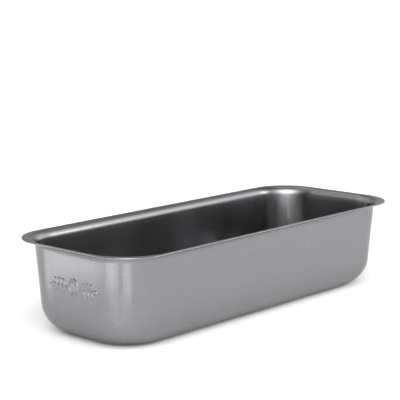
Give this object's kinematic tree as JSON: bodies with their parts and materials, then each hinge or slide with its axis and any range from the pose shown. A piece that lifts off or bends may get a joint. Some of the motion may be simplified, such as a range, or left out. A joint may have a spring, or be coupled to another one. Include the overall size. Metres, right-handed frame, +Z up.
{
  "type": "loaf pan",
  "caption": "Long rectangular loaf pan drawn from one metal sheet, with rounded corners, a large bottom bend, drafted walls and a thin level out-turned lip.",
  "frame": {"origin": "on the underside of the flat bottom, midway along the length and the width", "axes": "+X along the length, +Y across the width, +Z up from the bottom to the lip; the end with the pressed emblem faces -X"},
  "size_m": [0.3, 0.12, 0.065],
  "materials": {
    "satin_coated_sheet": "satin silver-grey non-stick coating with a fine grain"
  },
  "bodies": {
    "root": {"pan_shell": "satin_coated_sheet"}
  },
  "joints": []
}
